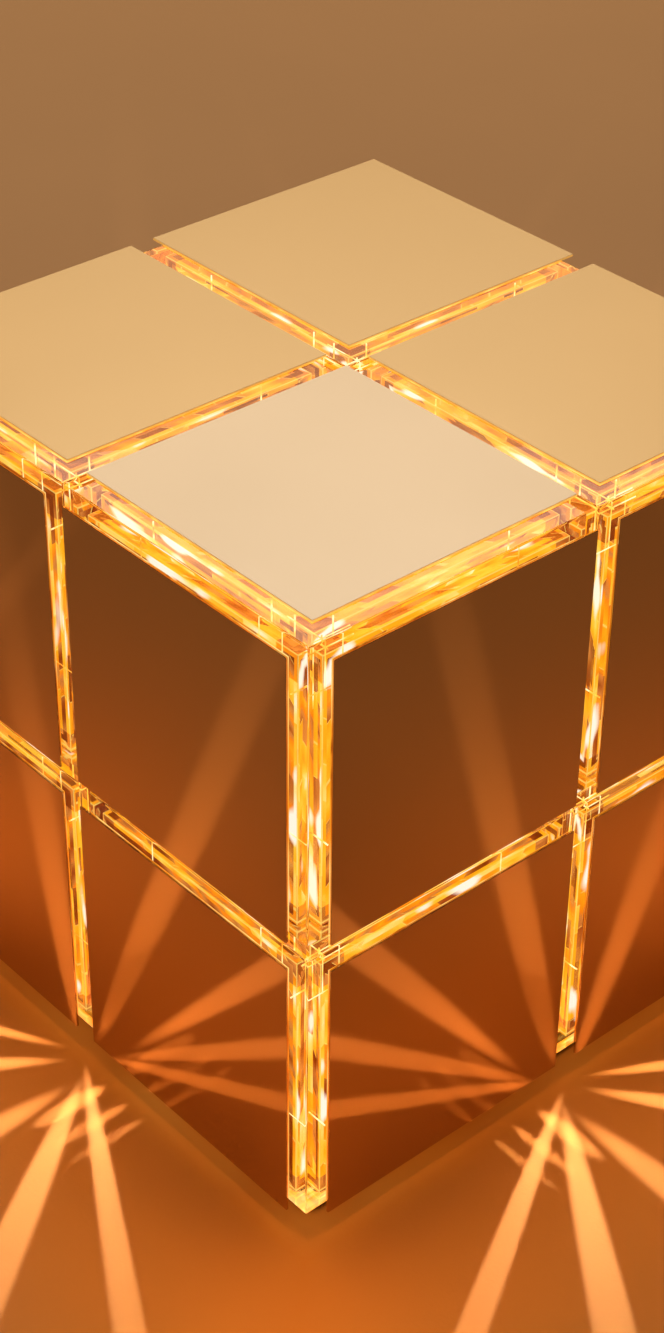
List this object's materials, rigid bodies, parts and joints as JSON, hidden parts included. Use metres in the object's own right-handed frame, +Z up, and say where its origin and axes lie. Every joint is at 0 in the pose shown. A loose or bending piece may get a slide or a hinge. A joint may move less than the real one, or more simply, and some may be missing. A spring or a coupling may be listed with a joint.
{
  "type": "lit acrylic display cube",
  "caption": "Internally lit cube of clear amber acrylic blocks faced with thin square metal plates, parted by air channels, on a recessed base with feet and a button.",
  "frame": {"origin": "centre of the square footprint, on the surface that the cube stands on", "axes": "+Z up, -Y the front, +X the right, the power inlet on the +Y side"},
  "size_m": [0.192, 0.192, 0.2],
  "materials": {
    "acrylic": "polished clear, amber tint",
    "champagne_plate": "fine satin, champagne anodised",
    "bronze_plate": "satin mirror, bronze anodised",
    "clear_spacer": "clear, sawn ends polished",
    "post_metal": "drawn, mill finish",
    "led_strip": "white board with warm diodes",
    "base_metal": "fine-textured dark bronze powder coat",
    "light_board": "white board with warm diodes",
    "opal_sheet": "opal, lit from below",
    "circuit_board": "green solder mask",
    "inlet_shell": "tinned",
    "wire_sleeve": "smooth sleeve",
    "switch_plastic": "moulded",
    "button_plastic": "fine spark texture",
    "spring_steel": "drawn wire",
    "screw_steel": "dark zinc",
    "foot_rubber": "matt moulded"
  },
  "bodies": {
    "cube": {"block_front_left_lower": "acrylic", "block_front_right_lower": "acrylic", "block_back_left_lower": "acrylic", "block_back_right_lower": "acrylic", "block_front_left_upper": "acrylic", "block_front_right_upper": "acrylic", "block_back_left_upper": "acrylic", "block_back_right_upper": "acrylic", "top_plate_front_left": "champagne_plate", "top_plate_front_right": "champagne_plate", "top_plate_back_left": "champagne_plate", "top_plate_back_right": "champagne_plate", "front_plate_lower_a": "bronze_plate", "front_plate_lower_b": "bronze_plate", "front_plate_upper_a": "bronze_plate", "front_plate_upper_b": "bronze_plate", "right_plate_lower_a": "bronze_plate", "right_plate_lower_b": "bronze_plate", "right_plate_upper_a": "bronze_plate", "right_plate_upper_b": "bronze_plate", "back_plate_lower_a": "bronze_plate", "back_plate_lower_b": "bronze_plate", "back_plate_upper_a": "bronze_plate", "back_plate_upper_b": "bronze_plate", "left_plate_lower_a": "bronze_plate", "left_plate_lower_b": "bronze_plate", "left_plate_upper_a": "bronze_plate", "left_plate_upper_b": "bronze_plate", "level_spacers": "clear_spacer", "cross_spacers": "clear_spacer", "fore_aft_spacers": "clear_spacer", "light_post": "post_metal", "led_strip_front": "led_strip", "led_strip_right": "led_strip", "led_strip_back": "led_strip", "led_strip_left": "led_strip", "base_tray": "base_metal", "light_board": "light_board", "diffuser": "opal_sheet", "driver_board": "circuit_board", "power_inlet": "inlet_shell", "lead_wires": "wire_sleeve", "switch_body": "switch_plastic", "button_spring": "spring_steel", "base_cover": "base_metal", "cover_screws": "screw_steel", "post_screw": "screw_steel", "foot_front_left": "foot_rubber", "foot_front_right": "foot_rubber", "foot_back_left": "foot_rubber", "foot_back_right": "foot_rubber"},
    "button": {"power_button": "button_plastic"}
  },
  "joints": [
    {"name": "power_button_press", "type": "slide", "parent": "cube", "child": "button", "axis": [0, 0, 1], "range_m": [0, 0.001], "stiffness_N_per_m": 600, "springref_m": -0.0005, "deforming": ["button_spring"]}
  ]
}
